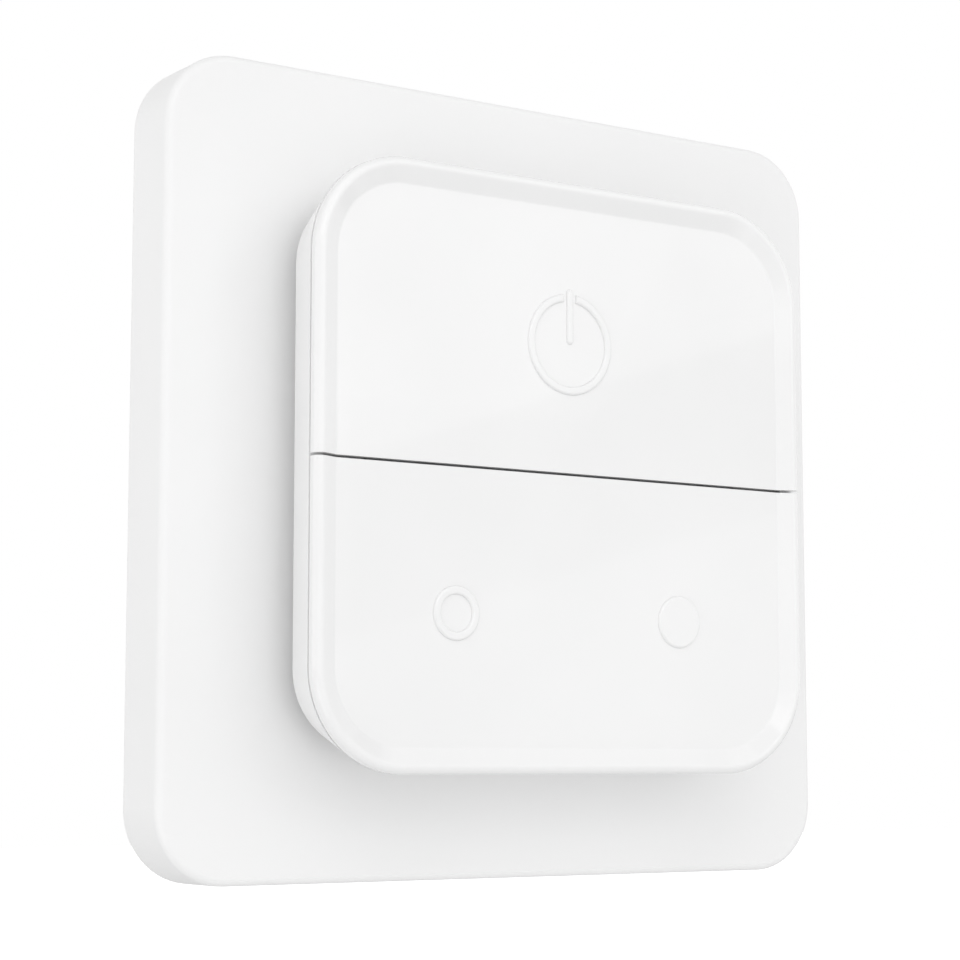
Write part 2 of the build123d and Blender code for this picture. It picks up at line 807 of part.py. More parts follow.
key_blank = make_key_blank()
parts = {
    "cover_frame": make_cover_frame(),
    "mounting_base": make_mounting_base(),
    "adhesive_pads": make_adhesive_pads(),
    "keeper_discs": make_keeper_discs(),
    "rear_housing": make_rear_housing(),
    "housing_skirt": make_housing_skirt(),
    "magnets": make_magnets(),
    "battery_door": make_battery_door(),
    "cell_can": make_cell_can(),
    "cell_gasket": make_cell_gasket(),
    "cell_cap": make_cell_cap(),
    "cell_holder": make_cell_holder(),
    "contact_plus": make_contact_plus(),
    "contact_minus": make_contact_minus(),
    "circuit_board": make_circuit_board(),
    "radio_chip": make_radio_chip(),
    "shield_can": make_shield_can(),
    "crystal": make_crystal(),
    "chip_antenna": make_chip_antenna(),
    "voltage_regulator": make_voltage_regulator(),
    "capacitors": make_capacitors(),
    "pair_switch_body": make_pair_switch_body(),
    "pair_switch_plunger": make_pair_switch_plunger(),
    "pair_button": make_pair_button(),
    "power_dome": make_dome(0, power_dome_height),
    "dim_down_dome": make_dome(-dim_dome_offset, -dim_dome_drop),
    "dim_up_dome": make_dome(dim_dome_offset, -dim_dome_drop),
    "key_frame": make_key_frame(),
    "frame_screws": make_frame_screws(),
    "power_pin": bar_along_x(pin_radius, power_block_half - pin_end_gap),
    "dimmer_pin": bar_along_z(pin_radius, pin_end_gap),
    "power_key": make_power_key(key_blank),
    "dimmer_key": make_dimmer_key(key_blank),
}

os.makedirs("parts", exist_ok=True)
for name, shape in parts.items():
    export_step(shape, "parts/" + name + ".step")
    print(name, "solids", len(shape.solids()), "volume", round(shape.volume, 1))
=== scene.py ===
import json
import math
import bpy
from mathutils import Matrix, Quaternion, Vector


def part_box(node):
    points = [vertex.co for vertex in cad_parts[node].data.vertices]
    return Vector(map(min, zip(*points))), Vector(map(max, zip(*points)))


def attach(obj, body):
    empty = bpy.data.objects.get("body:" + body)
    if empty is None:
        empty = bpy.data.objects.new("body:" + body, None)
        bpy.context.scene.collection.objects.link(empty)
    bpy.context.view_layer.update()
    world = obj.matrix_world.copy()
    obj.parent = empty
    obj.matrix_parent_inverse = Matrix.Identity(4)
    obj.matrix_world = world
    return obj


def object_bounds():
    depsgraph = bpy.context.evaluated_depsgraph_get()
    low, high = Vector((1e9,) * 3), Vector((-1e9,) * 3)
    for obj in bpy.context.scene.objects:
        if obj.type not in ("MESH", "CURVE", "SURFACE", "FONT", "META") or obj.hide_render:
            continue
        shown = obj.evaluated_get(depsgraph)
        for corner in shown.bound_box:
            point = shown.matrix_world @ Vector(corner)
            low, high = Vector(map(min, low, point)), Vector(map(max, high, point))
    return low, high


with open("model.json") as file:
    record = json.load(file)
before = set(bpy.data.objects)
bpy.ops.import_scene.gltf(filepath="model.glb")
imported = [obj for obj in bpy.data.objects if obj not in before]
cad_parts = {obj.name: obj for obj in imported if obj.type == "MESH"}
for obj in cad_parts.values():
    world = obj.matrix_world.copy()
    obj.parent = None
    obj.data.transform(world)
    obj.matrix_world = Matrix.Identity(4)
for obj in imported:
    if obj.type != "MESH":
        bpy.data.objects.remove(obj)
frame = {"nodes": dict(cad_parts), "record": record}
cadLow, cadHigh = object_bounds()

mm = 0.001    # in metres, the frame's unit


def hexToLinear(code):
    # one sRGB hex value to the linear colour that the shaders take
    channels = [int(code[i:i + 2], 16) / 255 for i in (0, 2, 4)]
    linear = [c / 12.92 if c <= 0.04045 else ((c + 0.055) / 1.055) ** 2.4 for c in channels]
    return (*linear, 1.0)


def addNode(tree, kind, settings=None, links=None):
    # a node with its settings: attributes by name, sockets by name or number
    node = tree.nodes.new(kind)
    for key, value in (settings or {}).items():
        if isinstance(key, str) and hasattr(node, key):
            setattr(node, key, value)
        else:
            node.inputs[key].default_value = value
    for key, socket in (links or {}).items():
        tree.links.new(socket, node.inputs[key])
    return node


def newMaterial(name):
    material = bpy.data.materials.new(name)
    material.use_nodes = True
    tree = material.node_tree
    tree.nodes.clear()
    return material, tree


def towards(azimuth, elevation):
    # unit vector from the switch: azimuth from the room's side towards +X, elevation upwards
    turn, rise = math.radians(azimuth), math.radians(elevation)
    level = math.cos(rise)
    return Vector((math.sin(turn) * level, -math.cos(turn) * level, math.sin(rise)))


print("camera")
# the photograph's viewpoint: left of the switch and a little below its middle
cameraSettings = {
    "place": (-152.782 * mm, -227.849 * mm, -30.618 * mm),
    "azimuth": -33.977,
    "elevation": -6.626,
    "lens": 91.4525,
    "sensor": 36.0,
    "nearest": 10.0 * mm,
}


def makeCamera():
    data = bpy.data.cameras.new("camera")
    data.lens = cameraSettings["lens"]
    data.sensor_width = cameraSettings["sensor"]
    data.clip_start = cameraSettings["nearest"]
    camera = bpy.data.objects.new("camera", data)
    bpy.context.scene.collection.objects.link(camera)
    camera.location = cameraSettings["place"]
    camera.rotation_mode = "QUATERNION"
    aim = -towards(cameraSettings["azimuth"], cameraSettings["elevation"])
    camera.rotation_quaternion = aim.to_track_quat("-Z", "Y")
    bpy.context.scene.camera = camera


makeCamera()

print("materials")
mixFirst, mixSecond, mixResult = 6, 7, 2    # the Mix node's sockets when it mixes colours
noiseReach = {"low": 0.3, "high": 0.7}    # where most of a noise texture's values lie
# how many finer waves each kind of noise carries
noiseLayers = {"waves": 1.0, "clouds": 2.0, "grain": 3.0, "patches": 4.0}
# cosine between the rounded and the flat face: fully worn below the first, whole above the second
edgeWear = {"worn": 0.82, "whole": 0.995}
edgeSamples = 6


def inMillimetres(tree, stretch=(1, 1, 1)):
    # the piece's own coordinates in millimetres, so every pattern keeps its real size
    coords = addNode(tree, "ShaderNodeTexCoord")
    scale = tuple(part / mm for part in stretch)
    place = addNode(tree, "ShaderNodeVectorMath", {"operation": "MULTIPLY", 1: scale},
                    {0: coords.outputs["Object"]})
    return place.outputs[0]


def cloudy(tree, place, size, layers, low, high):
    # soft clouds whose waves are size millimetres long, from a low to a high value
    noise = addNode(tree, "ShaderNodeTexNoise", {"Scale": 1 / size, "Detail": layers},
                    {"Vector": place})
    clouds = addNode(tree, "ShaderNodeMapRange", {
        "From Min": noiseReach["low"], "From Max": noiseReach["high"],
        "To Min": low, "To Max": high}, {"Value": noise.outputs["Fac"]})
    return clouds.outputs["Result"]


def uneven(tree, place, size, layers, depth, normal):
    # a face whose waves are size millimetres long and depth millimetres deep
    noise = addNode(tree, "ShaderNodeTexNoise", {"Scale": 1 / size, "Detail": layers},
                    {"Vector": place})
    waves = addNode(tree, "ShaderNodeBump", {"Strength": 1.0, "Distance": depth * mm},
                    {"Height": noise.outputs["Fac"], "Normal": normal})
    return waves.outputs["Normal"]


def softEdge(tree, radius):
    # edges rounded for the light only, and a mask that is 1 on those edges
    bevel = addNode(tree, "ShaderNodeBevel", {"samples": edgeSamples, "Radius": radius * mm})
    facing = addNode(tree, "ShaderNodeNewGeometry")
    same = addNode(tree, "ShaderNodeVectorMath", {"operation": "DOT_PRODUCT"},
                   {0: bevel.outputs["Normal"], 1: facing.outputs["Normal"]})
    worn = addNode(tree, "ShaderNodeMapRange", {
        "From Min": edgeWear["worn"], "From Max": edgeWear["whole"],
        "To Min": 1.0, "To Max": 0.0}, {"Value": same.outputs["Value"]})
    return bevel.outputs["Normal"], worn.outputs["Result"]


cloudsPerPatch = 2.5    # a moulding's colour clouds are larger than its patches of gloss


def mouldedPlastic(name, look):
    # slow sink waves, grain from the tool, handling patches and slightly worn edges
    material, tree = newMaterial(name)
    place = inMillimetres(tree)
    normal, worn = softEdge(tree, look["edge"])
    normal = uneven(tree, place, look["waveSize"], noiseLayers["waves"],
                    look["waveDepth"], normal)
    normal = uneven(tree, place, look["grainSize"], noiseLayers["grain"],
                    look["grainDepth"], normal)
    handled = cloudy(tree, place, look["patchSize"], noiseLayers["patches"],
                     look["rough"], look["rough"] + look["roughSpread"])
    rough = addNode(tree, "ShaderNodeMath", {"operation": "MULTIPLY_ADD", 1: look["edgeRough"]},
                    {0: worn, 2: handled})
    shaded = cloudy(tree, place, cloudsPerPatch * look["patchSize"], noiseLayers["clouds"],
                    0.0, 1.0)
    colour = addNode(tree, "ShaderNodeMix", {
        "data_type": "RGBA", mixFirst: hexToLinear(look["colour"]),
        mixSecond: hexToLinear(look["shade"])}, {0: shaded})
    shader = addNode(tree, "ShaderNodeBsdfPrincipled", {"IOR": look["ior"]}, {
        "Base Color": colour.outputs[mixResult], "Roughness": rough.outputs[0], "Normal": normal})
    addNode(tree, "ShaderNodeOutputMaterial", links={"Surface": shader.outputs["BSDF"]})
    return material


# lines add roughness and wander a little; tarnish clouds and rubbed edges bring out the shade
plating = {"lineRough": 0.12, "wander": 0.6, "tarnish": 0.5, "rubbed": 0.5}


def platedMetal(name, look):
    # drawn or turned lines, cloudy plating and edges where the plating is rubbed
    material, tree = newMaterial(name)
    place = inMillimetres(tree)
    normal, worn = softEdge(tree, look["edge"])
    if look["turned"]:
        lines = addNode(tree, "ShaderNodeTexWave", {
            "wave_type": "RINGS", "rings_direction": "Y", "Scale": look["lineScale"],
            "Distortion": plating["wander"]}, {"Vector": place}).outputs["Fac"]
    else:
        lines = addNode(tree, "ShaderNodeTexNoise", {
            "Scale": look["lineScale"], "Detail": noiseLayers["grain"]},
            {"Vector": inMillimetres(tree, look["stretch"])}).outputs["Fac"]
    drawn = addNode(tree, "ShaderNodeBump", {"Strength": 1.0, "Distance": look["lineDepth"] * mm},
                    {"Height": lines, "Normal": normal})
    clouds = cloudy(tree, place, look["patchSize"], noiseLayers["patches"],
                    look["rough"], look["rough"] + look["roughSpread"])
    rough = addNode(tree, "ShaderNodeMath", {"operation": "MULTIPLY_ADD", 1: plating["lineRough"]},
                    {0: lines, 2: clouds})
    dulled = cloudy(tree, place, look["patchSize"], noiseLayers["patches"], 0.0, plating["tarnish"])
    mask = addNode(tree, "ShaderNodeMath", {"operation": "MULTIPLY_ADD", 1: plating["rubbed"]},
                   {0: worn, 2: dulled})
    colour = addNode(tree, "ShaderNodeMix", {
        "data_type": "RGBA", mixFirst: hexToLinear(look["colour"]),
        mixSecond: hexToLinear(look["shade"])}, {0: mask.outputs[0]})
    shader = addNode(tree, "ShaderNodeBsdfPrincipled", {"Metallic": 1.0}, {
        "Base Color": colour.outputs[mixResult], "Roughness": rough.outputs[0],
        "Normal": drawn.outputs["Normal"]})
    addNode(tree, "ShaderNodeOutputMaterial", links={"Surface": shader.outputs["BSDF"]})
    return material


# sizes and depths in millimetres
plasticLooks = {
    # polished tool: mirror-like keys, with slow waves from shrinking and a trace of orange peel
    "gloss_white_key": ("glossMouldedAbs", {
        "colour": "F4F4F4", "shade": "F1F1F1", "ior": 1.54,
        "rough": 0.025, "roughSpread": 0.02, "edge": 0.1, "edgeRough": 0.02, "patchSize": 9.0,
        "waveSize": 22.0, "waveDepth": 0.008, "grainSize": 1.6, "grainDepth": 0.0002}),
    # fine spark-eroded tool: dull wide highlight with a visible fine grain
    "textured_white_abs": ("sparkErodedAbs", {
        "colour": "F5F5F5", "shade": "F2F2F2", "ior": 1.54,
        "rough": 0.42, "roughSpread": 0.08, "edge": 0.15, "edgeRough": -0.12, "patchSize": 16.0,
        "waveSize": 30.0, "waveDepth": 0.012, "grainSize": 0.32, "grainDepth": 0.006}),
    # satin tool for the module's case
    "housing_white_abs": ("satinMouldedAbs", {
        "colour": "F9F9F9", "shade": "F6F6F6", "ior": 1.54,
        "rough": 0.3, "roughSpread": 0.08, "edge": 0.12, "edgeRough": -0.08, "patchSize": 11.0,
        "waveSize": 20.0, "waveDepth": 0.01, "grainSize": 0.45, "grainDepth": 0.003}),
    # hidden base: semi-matt with flow clouds
    "plain_white_abs": ("semiMattMouldedAbs", {
        "colour": "EFEFED", "shade": "E6E6E2", "ior": 1.54,
        "rough": 0.36, "roughSpread": 0.14, "edge": 0.12, "edgeRough": -0.08, "patchSize": 8.0,
        "waveSize": 12.0, "waveDepth": 0.015, "grainSize": 0.6, "grainDepth": 0.004}),
    # closed-cell foam between two acrylic skins: dull, pitted
    "foam_tape": ("acrylicFoamTape", {
        "colour": "DFE0DE", "shade": "CFD2D0", "ior": 1.45,
        "rough": 0.75, "roughSpread": 0.15, "edge": 0.05, "edgeRough": 0.0, "patchSize": 5.0,
        "waveSize": 4.0, "waveDepth": 0.03, "grainSize": 0.22, "grainDepth": 0.03}),
    # milky sealing ring of the cell
    "cell_gasket": ("polypropyleneGasket", {
        "colour": "D2D5D8", "shade": "C2C7CC", "ior": 1.49,
        "rough": 0.22, "roughSpread": 0.1, "edge": 0.04, "edgeRough": 0.05, "patchSize": 3.0,
        "waveSize": 2.0, "waveDepth": 0.004, "grainSize": 0.2, "grainDepth": 0.0015}),
    # glass fibres show as a grey shimmer in the black moulding
    "black_moulding": ("glassFilledNylon", {
        "colour": "17171A", "shade": "26272B", "ior": 1.53,
        "rough": 0.45, "roughSpread": 0.2, "edge": 0.05, "edgeRough": -0.1, "patchSize": 2.0,
        "waveSize": 3.0, "waveDepth": 0.006, "grainSize": 0.18, "grainDepth": 0.004}),
    # moulded epoxy body with a matt blasted top
    "chip_epoxy": ("mouldedEpoxy", {
        "colour": "141416", "shade": "202124", "ior": 1.55,
        "rough": 0.5, "roughSpread": 0.15, "edge": 0.04, "edgeRough": -0.15, "patchSize": 1.5,
        "waveSize": 1.5, "waveDepth": 0.001, "grainSize": 0.12, "grainDepth": 0.003}),
    # fired white body, faint glaze
    "antenna_ceramic": ("firedAlumina", {
        "colour": "DDE2E8", "shade": "CDD4DC", "ior": 1.7,
        "rough": 0.3, "roughSpread": 0.12, "edge": 0.05, "edgeRough": 0.1, "patchSize": 1.8,
        "waveSize": 1.5, "waveDepth": 0.001, "grainSize": 0.15, "grainDepth": 0.002}),
    # tan dielectric with a soft sheen
    "capacitor_ceramic": ("bariumTitanateCeramic", {
        "colour": "A88A62", "shade": "8F7350", "ior": 1.8,
        "rough": 0.34, "roughSpread": 0.12, "edge": 0.04, "edgeRough": 0.1, "patchSize": 0.9,
        "waveSize": 0.8, "waveDepth": 0.0008, "grainSize": 0.1, "grainDepth": 0.0015}),
    # plunger of the small switch: black, smooth from its mould, with a dull sheen
    "switch_plunger": ("blackNylon", {
        "colour": "202024", "shade": "2E2E33", "ior": 1.53,
        "rough": 0.35, "roughSpread": 0.15, "edge": 0.05, "edgeRough": -0.05, "patchSize": 1.0,
        "waveSize": 1.0, "waveDepth": 0.002, "grainSize": 0.15, "grainDepth": 0.002}),
    # grey button: satin, with its edges rubbed a little smoother
    "pair_button": ("greyMouldedAbs", {
        "colour": "9CA0A4", "shade": "8E9296", "ior": 1.54,
        "rough": 0.32, "roughSpread": 0.14, "edge": 0.08, "edgeRough": -0.06, "patchSize": 1.6,
        "waveSize": 2.0, "waveDepth": 0.003, "grainSize": 0.25, "grainDepth": 0.003}),
    # engineering blend under the keys: semi-matt, light grey, flow clouds
    "frame_grey": ("greyAbsBlend", {
        "colour": "CFD1D4", "shade": "BFC2C6", "ior": 1.56,
        "rough": 0.38, "roughSpread": 0.14, "edge": 0.1, "edgeRough": -0.08, "patchSize": 6.0,
        "waveSize": 9.0, "waveDepth": 0.012, "grainSize": 0.5, "grainDepth": 0.004}),
}

# sizes and depths in millimetres; lineScale is about the drawn lines in a millimetre, or a third
# of the turned ones; stretch makes the lines finer along an axis, so they run along the others
metalLooks = {
    # bright zinc with rolled lines and a faint bluish cloud
    "zinc_steel": ("zincPlatedSteel", {
        "colour": "C2C5CA", "shade": "9DA3AC", "rough": 0.28, "roughSpread": 0.16,
        "edge": 0.08, "patchSize": 3.0, "turned": False, "stretch": (1, 1, 14),
        "lineScale": 3.0, "lineDepth": 0.0015}),
    # hard nickel skin, nearly mirror-like, warm
    "nickel_magnet": ("nickelPlatedMagnet", {
        "colour": "CDC8BE", "shade": "A9A398", "rough": 0.14, "roughSpread": 0.12,
        "edge": 0.15, "patchSize": 2.5, "turned": False, "stretch": (1, 1, 1),
        "lineScale": 1.5, "lineDepth": 0.001}),
    # pressed can with fine turned rings about the cell's axis
    "cell_steel": ("nickelPlatedStainless", {
        "colour": "D0D0CE", "shade": "ACABA6", "rough": 0.2, "roughSpread": 0.12,
        "edge": 0.1, "patchSize": 5.0, "turned": True,
        "lineScale": 0.9, "lineDepth": 0.0012}),
    # warm gold flash over spring strip, lines along the strip
    "spring_bronze": ("goldFlashedBronze", {
        "colour": "DDBE78", "shade": "B48C4C", "rough": 0.22, "roughSpread": 0.14,
        "edge": 0.05, "patchSize": 1.6, "turned": False, "stretch": (1, 1, 12),
        "lineScale": 2.5, "lineDepth": 0.001}),
    # tinned sheet: soft grey shine with flow marks
    "tinned_steel": ("tinnedSteelSheet", {
        "colour": "C3C6C9", "shade": "9A9DA2", "rough": 0.3, "roughSpread": 0.18,
        "edge": 0.08, "patchSize": 2.0, "turned": False, "stretch": (10, 1, 1),
        "lineScale": 2.2, "lineDepth": 0.0015}),
    # thin stamped domes, bright with a brushed cast
    "dome_steel": ("stainlessSpringSheet", {
        "colour": "D6D6D2", "shade": "B2B2AC", "rough": 0.18, "roughSpread": 0.1,
        "edge": 0.04, "patchSize": 1.2, "turned": False, "stretch": (1, 1, 10),
        "lineScale": 3.0, "lineDepth": 0.0008}),
    # black oxide: dark, oily, steel showing at the edges
    "black_screw": ("blackOxideSteel", {
        "colour": "1E1E21", "shade": "5C5C60", "rough": 0.3, "roughSpread": 0.15,
        "edge": 0.06, "patchSize": 1.0, "turned": True,
        "lineScale": 1.5, "lineDepth": 0.001}),
    # centreless-ground pins with rings across their length
    "pin_steel": ("groundStainless", {
        "colour": "CFCFCE", "shade": "A8A8A6", "rough": 0.16, "roughSpread": 0.1,
        "edge": 0.05, "patchSize": 2.0, "turned": False, "stretch": (6, 1, 6),
        "lineScale": 2.0, "lineDepth": 0.0006}),
}

# sizes and depths in millimetres; the copper is whole up to its inner distance and ends at the outer
boardLook = {
    "lacquer": "0D4A28", "overCopper": "1B6B3C", "ior": 1.55, "edge": 0.05,
    "gloss": 0.16, "dull": 0.3, "glossSize": 3.0,
    "copperDepth": 0.03, "grainSize": 0.4, "grainDepth": 0.003,
    "tin": "C6C4BC", "tinRough": 0.25,
}
copperTracks = {"feature": "DISTANCE_TO_EDGE", "perMillimetre": 0.42, "randomness": 0.6,
                "inner": 0.05, "outer": 0.07}
copperVias = {"feature": "F1", "perMillimetre": 0.28, "randomness": 0.7,
              "inner": 0.06, "outer": 0.075}


def copperPattern(tree, place, look):
    # 1 on the copper and 0 beside it
    cells = addNode(tree, "ShaderNodeTexVoronoi", {
        "feature": look["feature"], "Scale": look["perMillimetre"],
        "Randomness": look["randomness"]}, {"Vector": place})
    copper = addNode(tree, "ShaderNodeMapRange", {
        "From Min": look["inner"], "From Max": look["outer"], "To Min": 1.0, "To Max": 0.0},
        {"Value": cells.outputs["Distance"]})
    return copper.outputs["Result"]


def solderMask(name):
    # green lacquer over glass epoxy: raised copper tracks under it, and tinned vias
    material, tree = newMaterial(name)
    place = inMillimetres(tree)
    bevel = addNode(tree, "ShaderNodeBevel", {
        "samples": edgeSamples, "Radius": boardLook["edge"] * mm})
    tracks = copperPattern(tree, place, copperTracks)
    vias = copperPattern(tree, place, copperVias)
    copper = addNode(tree, "ShaderNodeMath", {"operation": "MAXIMUM"}, {0: tracks, 1: vias})
    raised = addNode(tree, "ShaderNodeBump", {
        "Strength": 1.0, "Distance": boardLook["copperDepth"] * mm},
        {"Height": copper.outputs[0], "Normal": bevel.outputs["Normal"]})
    normal = uneven(tree, place, boardLook["grainSize"], noiseLayers["grain"],
                    boardLook["grainDepth"], raised.outputs["Normal"])
    green = addNode(tree, "ShaderNodeMix", {
        "data_type": "RGBA", mixFirst: hexToLinear(boardLook["lacquer"]),
        mixSecond: hexToLinear(boardLook["overCopper"])}, {0: tracks})
    rough = cloudy(tree, place, boardLook["glossSize"], noiseLayers["clouds"],
                   boardLook["gloss"], boardLook["dull"])
    lacquer = addNode(tree, "ShaderNodeBsdfPrincipled", {"IOR": boardLook["ior"]}, {
        "Base Color": green.outputs[mixResult], "Roughness": rough, "Normal": normal})
    tin = addNode(tree, "ShaderNodeBsdfPrincipled", {
        "Metallic": 1.0, "Roughness": boardLook["tinRough"],
        "Base Color": hexToLinear(boardLook["tin"])}, {"Normal": normal})
    both = addNode(tree, "ShaderNodeMixShader",
                   links={0: vias, 1: lacquer.outputs["BSDF"], 2: tin.outputs["BSDF"]})
    addNode(tree, "ShaderNodeOutputMaterial", links={"Surface": both.outputs[0]})
    return material


slotMaterials = {slot: mouldedPlastic(*look) for slot, look in plasticLooks.items()}
slotMaterials.update({slot: platedMetal(*look) for slot, look in metalLooks.items()})
slotMaterials["board_laminate"] = solderMask("greenSolderMask")
for part in frame["record"]["subparts"]:
    for held in frame["nodes"][part["node"]].material_slots:
        held.material = slotMaterials[part["material_slot"]]

print("details")
weldDigits = 6    # of a metre: corners that agree to a thousandth of a millimetre are one
cornerSteps = 3    # straight pieces in a quarter turn


def islandBoxes(node):
    # lowest and highest corner of each separate solid of one CAD node
    mesh = frame["nodes"][node].data
    points = [vertex.co.copy() for vertex in mesh.vertices]
    keys = [tuple(round(c, weldDigits) for c in point) for point in points]
    merged = {key: index for index, key in enumerate(keys)}
    home = [merged[key] for key in keys]
    parent = list(range(len(points)))

    def root(index):
        while parent[index] != index:
            index = parent[index]
        return index

    for edge in mesh.edges:
        parent[root(home[edge.vertices[0]])] = root(home[edge.vertices[1]])
    groups = {}
    for index in set(home):
        groups.setdefault(root(index), []).append(points[index])
    return [(Vector(map(min, zip(*group))), Vector(map(max, zip(*group))))
            for group in groups.values()]


def addPiece(name, vertices, faces, slot, body):
    # one mesh of closed solids that rides on a body and takes a record slot's material
    mesh = bpy.data.meshes.new(name)
    mesh.from_pydata(vertices, [], faces)
    mesh.validate()
    mesh.materials.append(slotMaterials[slot])
    piece = bpy.data.objects.new(name, mesh)
    bpy.context.scene.collection.objects.link(piece)
    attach(piece, body)


def loopSolid(rings, closed=False):
    # skin over rings of equal length, capped at both ends or closed back onto the first ring
    count = len(rings[0])
    vertices = [point for ring in rings for point in ring]
    faces = []
    if not closed:
        faces = [tuple(range(count))[::-1], tuple(len(vertices) - count + i for i in range(count))]
    for level in range(len(rings) if closed else len(rings) - 1):
        here, there = level * count, (level + 1) % len(rings) * count
        for i in range(count):
            j = (i + 1) % count
            faces.append((here + i, here + j, there + j, there + i))
    return vertices, faces


def joined(solids):
    # several solids as one list of vertices and faces
    vertices, faces = [], []
    for points, sides in solids:
        base = len(vertices)
        vertices += points
        faces += [tuple(base + i for i in side) for side in sides]
    return vertices, faces


def roundedRing(low, high, out, cut):
    # rounded rectangle in X and Z at one distance out from the wall
    points = []
    for x, z, start in ((high.x, high.z, 0), (low.x, high.z, 90),
                        (low.x, low.z, 180), (high.x, low.z, 270)):
        cx = x - cut if x == high.x else x + cut
        cz = z - cut if z == high.z else z + cut
        for step in range(cornerSteps + 1):
            angle = math.radians(start + 90 * step / cornerSteps)
            points.append((cx + cut * math.cos(angle), -out, cz + cut * math.sin(angle)))
    return points


# plated ends of the chip parts, with the solder that climbs their feet, in millimetres;
# share is of the part's length, climb of its height
terminals = {"wrap": 0.03, "share": 0.24, "cut": 0.06, "foot": 0.22, "climb": 0.45, "lift": 0.005}
# the solder's hollow slope as shares of its way in and up, the top's rounding as shares of cut
solderSlope = {"in": 0.7, "up": 0.4}
topRounding = {"inset": 0.5, "cut": 0.7}


def terminalPair(low, high):
    wrap, cut, foot, lift = (terminals[key] * mm for key in ("wrap", "cut", "foot", "lift"))
    front, back = -low.y, -high.y
    climb = back + terminals["climb"] * (front - back)
    inset = Vector((cut, 0, cut)) * topRounding["inset"]
    near, far = 1 - solderSlope["in"], solderSlope["in"]
    solids = []
    for side in (-1, 1):
        edge = high.x if side > 0 else low.x
        inner = edge - side * terminals["share"] * (high.x - low.x)
        outer = edge + side * wrap
        capLow = Vector((min(inner, outer), 0, low.z - wrap))
        capHigh = Vector((max(inner, outer), 0, high.z + wrap))
        toe = Vector((side * foot, 0, 0))
        footLow = capLow + (toe if side < 0 else Vector())
        footHigh = capHigh + (toe if side > 0 else Vector())
        solids.append(loopSolid([
            roundedRing(footLow, footHigh, back + lift, cut),
            roundedRing(footLow * near + capLow * far, footHigh * near + capHigh * far,
                        back + solderSlope["up"] * (climb - back), cut),
            roundedRing(capLow, capHigh, climb, cut),
            roundedRing(capLow, capHigh, front, cut),
            roundedRing(capLow + inset, capHigh - inset, front + wrap, cut * topRounding["cut"]),
        ]))
    return solids


terminalSolids = []
for low, high in islandBoxes("capacitors") + islandBoxes("chip_antenna"):
    terminalSolids += terminalPair(low, high)
addPiece("soldered_terminals", *joined(terminalSolids), "tinned_steel", "module")

# gull-wing legs of the regulator and of the pairing switch, bent from thin strip, in
# millimetres; side is 1 in front of the board and -1 behind it
regulatorLegs = {"node": "voltage_regulator", "side": 1, "drops": (-0.95, 0.0, 0.95),
                 "width": 0.42, "thick": 0.14, "reach": 0.75}
switchLegs = {"node": "pair_switch_body", "side": -1, "drops": (-1.5, 1.5),
              "width": 0.7, "thick": 0.16, "reach": 0.8}
# from inside the part to the toe: share of the reach, and millimetres off the board
legBends = ((-0.1, 0.45), (0.3, 0.45), (0.45, 0.2), (0.55, 0.01), (1.0, 0.01))


def gullLegs(look):
    low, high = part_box(look["node"])
    middle = (low + high) / 2
    # the board lies behind the regulator and in front of the switch
    board = high.y if look["side"] > 0 else low.y
    away = -look["side"]
    thick = look["thick"] * mm * away
    half = look["width"] * mm / 2
    solids = []
    for drop in look["drops"]:
        z = middle.z + drop * mm
        for end in (-1, 1):
            root = high.x if end > 0 else low.x
            reach = look["reach"] * mm * end
            rings = []
            for share, lift in legBends:
                x, y = root + share * reach, board + lift * mm * away
                rings.append([(x, y, z - half), (x, y, z + half),
                              (x, y + thick, z + half), (x, y + thick, z - half)])
            solids.append(loopSolid(rings))
    return solids


addPiece("regulator_legs", *joined(gullLegs(regulatorLegs)), "tinned_steel", "module")
addPiece("pair_switch_legs", *joined(gullLegs(switchLegs)), "tinned_steel", "module")

# printed outlines on the board around the parts, as thin raised ink, in millimetres
printedOutlines = {"line": 0.15, "thick": 0.02, "gap": 0.45, "lift": 0.002, "cut": 0.3,
                   "nodes": ("crystal", "voltage_regulator", "chip_antenna", "shield_can")}


def outlineSolid(low, high, out):
    line, thick, gap, lift, cut = (
        printedOutlines[key] * mm for key in ("line", "thick", "gap", "lift", "cut"))
    rings = []
    for grow, level in ((gap, 0), (gap + line, 0), (gap + line, thick), (gap, thick)):
        reach = Vector((grow, 0, grow))
        rings.append(roundedRing(low - reach, high + reach, out + level + lift, cut))
    return loopSolid(rings, closed=True)


boardFront = -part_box("circuit_board")[0].y
inkSolids = [outlineSolid(*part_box(node), boardFront) for node in printedOutlines["nodes"]]
addPiece("board_legend", *joined(inkSolids), "plain_white_abs", "module")

print("stage")
stage = {"floorDrop": 1.1, "floorSize": 60.0, "floorColour": "F4F4F4"}    # in metres


def makeFloor():
    # white to the camera, and pale to the light that falls on it
    z = cadLow.z - stage["floorDrop"]
    half = stage["floorSize"] / 2
    corners = [(-half, -half, z), (half, -half, z), (half, half, z), (-half, half, z)]
    mesh = bpy.data.meshes.new("floor")
    mesh.from_pydata(corners, [], [(0, 1, 2, 3)])
    floor = bpy.data.objects.new("floor", mesh)
    bpy.context.scene.collection.objects.link(floor)
    material, tree = newMaterial("paleFloor")
    rays = addNode(tree, "ShaderNodeLightPath")
    diffuse = addNode(tree, "ShaderNodeBsdfDiffuse", {"Color": hexToLinear(stage["floorColour"])})
    glow = addNode(tree, "ShaderNodeEmission", {"Color": (1, 1, 1, 1)},
                   {"Strength": rays.outputs["Is Camera Ray"]})
    both = addNode(tree, "ShaderNodeAddShader", links={0: diffuse.outputs[0], 1: glow.outputs[0]})
    addNode(tree, "ShaderNodeOutputMaterial", links={"Surface": both.outputs[0]})
    mesh.materials.append(material)


makeFloor()

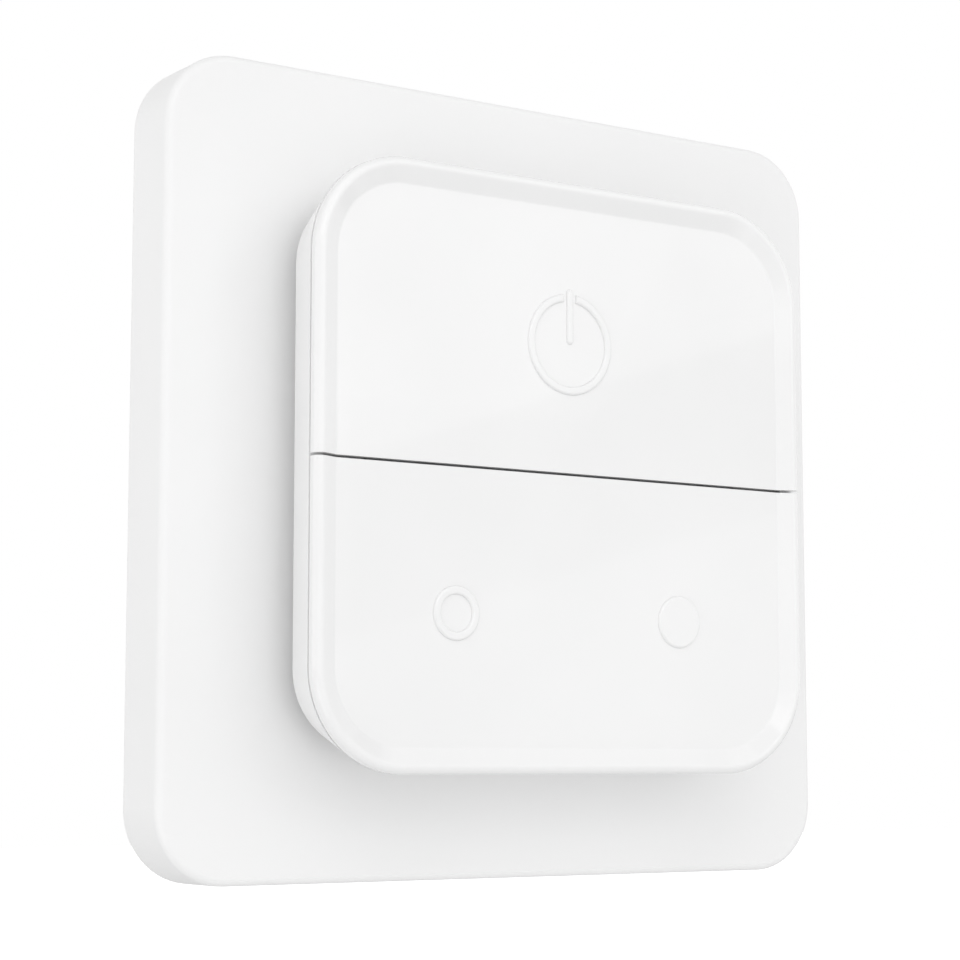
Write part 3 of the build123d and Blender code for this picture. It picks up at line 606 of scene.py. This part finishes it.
# white studio: the light it gives, and the brightness that the camera and reflections see
world = {"light": 0.52, "seen": 1.0}


def makeWorld():
    studio = bpy.data.worlds.new("studio")
    studio.use_nodes = True
    tree = studio.node_tree
    tree.nodes.clear()
    rays = addNode(tree, "ShaderNodeLightPath")
    seen = addNode(tree, "ShaderNodeMath", {"operation": "MAXIMUM"},
                   {0: rays.outputs["Is Camera Ray"], 1: rays.outputs["Is Glossy Ray"]})
    seen = addNode(tree, "ShaderNodeMath", {"operation": "MAXIMUM"},
                   {0: seen.outputs[0], 1: rays.outputs["Is Transmission Ray"]})
    strength = addNode(tree, "ShaderNodeMapRange", {
        "To Min": world["light"], "To Max": world["seen"]}, {"Value": seen.outputs[0]})
    light = addNode(tree, "ShaderNodeBackground", {"Color": (1, 1, 1, 1)},
                    {"Strength": strength.outputs["Result"]})
    addNode(tree, "ShaderNodeOutputWorld", links={"Surface": light.outputs[0]})
    bpy.context.scene.world = studio


makeWorld()

# soft boxes: direction, roll and angular size in degrees, brightness where 1 is white
softBoxes = {
    "mirrorUp": {"azimuth": 31.9, "elevation": 23.4, "roll": 17.3,
                 "width": 50, "height": 30, "radiance": 0.45},
    "mirrorLow": {"azimuth": 40.2, "elevation": -10.2, "roll": 16.2,
                  "width": 50, "height": 30, "radiance": 0.26},
    "keyWide": {"azimuth": 0, "elevation": 40, "roll": 0,
                "width": 80, "height": 60, "radiance": 0.18},
    "keyLeft": {"azimuth": -30, "elevation": 45, "roll": 0,
                "width": 60, "height": 50, "radiance": 0.62},
    "front": {"azimuth": 0, "elevation": 0, "roll": 0,
              "width": 60, "height": 60, "radiance": 0.39},
    "right": {"azimuth": 85, "elevation": 0, "roll": 0,
              "width": 50, "height": 50, "radiance": 0.3},
    "leftFront": {"azimuth": -50, "elevation": 5, "roll": 0,
                  "width": 50, "height": 50, "radiance": 0.2},
    "left": {"azimuth": -104, "elevation": 0, "roll": 0,
             "width": 50, "height": 50, "radiance": 0.5},
    "leftBack": {"azimuth": -140, "elevation": 0, "roll": 0,
                 "width": 50, "height": 60, "radiance": 0.3},
    "leftLow": {"azimuth": -60, "elevation": -30, "roll": 0,
                "width": 50, "height": 40, "radiance": 1.0},
}
boxDistance = 2.0    # in metres


def makeSoftBox(name, look):
    direction = towards(look["azimuth"], look["elevation"])
    data = bpy.data.lights.new(name, "AREA")
    data.shape = "RECTANGLE"
    data.size = 2 * boxDistance * math.tan(math.radians(look["width"]) / 2)
    data.size_y = 2 * boxDistance * math.tan(math.radians(look["height"]) / 2)
    data.energy = math.pi * data.size * data.size_y * look["radiance"]
    lamp = bpy.data.objects.new(name, data)
    bpy.context.scene.collection.objects.link(lamp)
    lamp.location = direction * boxDistance
    lamp.rotation_mode = "QUATERNION"
    roll = Quaternion(direction, math.radians(look["roll"]))
    lamp.rotation_quaternion = roll @ direction.to_track_quat("Z", "Y")


for lampName, lampLook in softBoxes.items():
    makeSoftBox(lampName, lampLook)
bpy.context.scene.view_settings.view_transform = "Standard"
